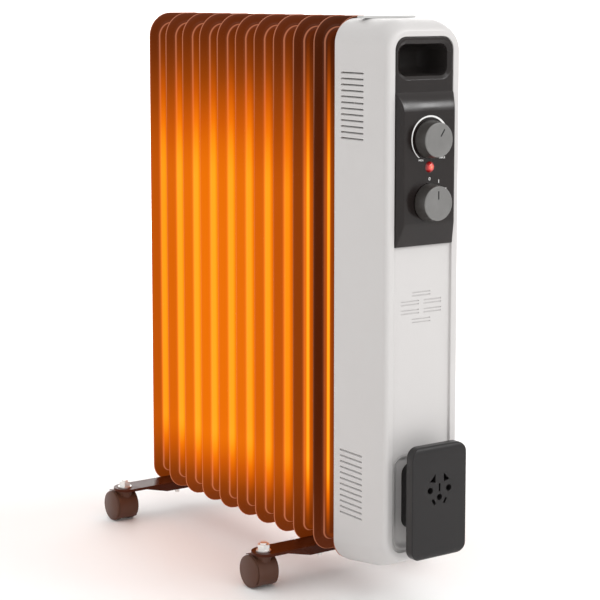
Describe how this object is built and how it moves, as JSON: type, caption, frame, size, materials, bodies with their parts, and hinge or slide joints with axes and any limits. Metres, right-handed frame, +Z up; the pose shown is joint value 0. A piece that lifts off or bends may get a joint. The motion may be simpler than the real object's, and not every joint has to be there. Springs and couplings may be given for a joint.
{
  "type": "oil filled radiator heater",
  "caption": "Free-standing oil filled radiator with a row of pressed steel fins, a slim control housing with two dials, a cord wrap and swivel casters.",
  "frame": {"origin": "on the floor, under the middle of the heater's bounding box", "axes": "+Z up, the control panel faces -Y, the fins run back along +Y, +X is to the right of someone facing the panel"},
  "size_m": [0.235, 0.5254, 0.634],
  "materials": {
    "fin_enamel": "dark baked enamel",
    "foot_paint": "dark brown baked enamel",
    "caster_plastic": "dark brown moulded nylon",
    "housing_paint": "satin off-white powder coat",
    "cover_plastic": "light grey moulded plastic",
    "panel_gloss": "black semi-gloss moulded plastic",
    "cord_plate_plastic": "charcoal satin moulded plastic",
    "knob_plastic": "graphite satin moulded plastic",
    "dial_print": "white print",
    "lens_red": "red translucent moulded lens",
    "zinc": "bright zinc plate",
    "element_steel": "bare steel tube",
    "chassis_black": "black paint",
    "switch_plastic": "moulded thermoset",
    "wire_sleeve": "black insulating sleeve"
  },
  "bodies": {
    "heater": {"fin_01": "fin_enamel", "fin_02": "fin_enamel", "fin_03": "fin_enamel", "fin_04": "fin_enamel", "fin_05": "fin_enamel", "fin_06": "fin_enamel", "fin_07": "fin_enamel", "fin_08": "fin_enamel", "fin_09": "fin_enamel", "fin_10": "fin_enamel", "fin_11": "fin_enamel", "header_collars": "fin_enamel", "front_foot": "foot_paint", "rear_foot": "foot_paint", "housing_top": "housing_paint", "housing_left": "housing_paint", "housing_right": "housing_paint", "housing_base": "housing_paint", "housing_front": "housing_paint", "cord_pocket": "housing_paint", "top_cover": "cover_plastic", "cord_gland": "cover_plastic", "control_panel": "panel_gloss", "dial_bezel": "panel_gloss", "handle_cup": "panel_gloss", "cord_plate": "cord_plate_plastic", "cord_neck": "cord_plate_plastic", "dial_marks": "dial_print", "indicator_lens": "lens_red", "chassis_spacers": "zinc", "chassis_screws": "zinc", "housing_screws": "zinc", "foot_u_bolts": "zinc", "foot_wing_nuts": "zinc", "caster_stems": "zinc", "caster_nuts": "zinc", "element_flange": "zinc", "oil_filler_plug": "zinc", "heating_element": "element_steel", "chassis_plate": "chassis_black", "thermostat_body": "switch_plastic", "power_switch": "switch_plastic", "tip_over_switch": "switch_plastic", "terminal_block": "switch_plastic", "indicator_lamp": "switch_plastic", "thermal_cutout": "switch_plastic", "wiring_loom": "wire_sleeve"},
    "thermostat_control": {"thermostat_knob": "knob_plastic", "thermostat_spindle": "zinc"},
    "power_control": {"power_knob": "knob_plastic", "power_spindle": "zinc"},
    "front_left_swivel": {"front_left_hood": "caster_plastic"},
    "front_left_rollers": {"front_left_wheels": "caster_plastic"},
    "front_right_swivel": {"front_right_hood": "caster_plastic"},
    "front_right_rollers": {"front_right_wheels": "caster_plastic"},
    "rear_left_swivel": {"rear_left_hood": "caster_plastic"},
    "rear_left_rollers": {"rear_left_wheels": "caster_plastic"},
    "rear_right_swivel": {"rear_right_hood": "caster_plastic"},
    "rear_right_rollers": {"rear_right_wheels": "caster_plastic"}
  },
  "joints": [
    {"name": "thermostat_turn", "type": "hinge", "parent": "heater", "child": "thermostat_control", "pos_m": [0, -0.25675, 0.507], "axis": [0, 1, 0], "range_deg": [-177, 108]},
    {"name": "power_turn", "type": "hinge", "parent": "heater", "child": "power_control", "pos_m": [0, -0.25675, 0.441], "axis": [0, 1, 0], "range_deg": [0, 90]},
    {"name": "front_left_swivel_turn", "type": "hinge", "parent": "heater", "child": "front_left_swivel", "pos_m": [-0.1025, -0.0808, 0.03], "axis": [0, 0, 1], "continuous": true},
    {"name": "front_left_roll", "type": "hinge", "parent": "front_left_swivel", "child": "front_left_rollers", "pos_m": [-0.1025, -0.0718, 0.0185], "axis": [1, 0, 0], "continuous": true},
    {"name": "front_right_swivel_turn", "type": "hinge", "parent": "heater", "child": "front_right_swivel", "pos_m": [0.1025, -0.0808, 0.03], "axis": [0, 0, 1], "continuous": true},
    {"name": "front_right_roll", "type": "hinge", "parent": "front_right_swivel", "child": "front_right_rollers", "pos_m": [0.1025, -0.0718, 0.0185], "axis": [1, 0, 0], "continuous": true},
    {"name": "rear_left_swivel_turn", "type": "hinge", "parent": "heater", "child": "rear_left_swivel", "pos_m": [-0.1025, 0.2352, 0.03], "axis": [0, 0, 1], "continuous": true},
    {"name": "rear_left_roll", "type": "hinge", "parent": "rear_left_swivel", "child": "rear_left_rollers", "pos_m": [-0.1025, 0.2442, 0.0185], "axis": [1, 0, 0], "continuous": true},
    {"name": "rear_right_swivel_turn", "type": "hinge", "parent": "heater", "child": "rear_right_swivel", "pos_m": [0.1025, 0.2352, 0.03], "axis": [0, 0, 1], "continuous": true},
    {"name": "rear_right_roll", "type": "hinge", "parent": "rear_right_swivel", "child": "rear_right_rollers", "pos_m": [0.1025, 0.2442, 0.0185], "axis": [1, 0, 0], "continuous": true}
  ]
}
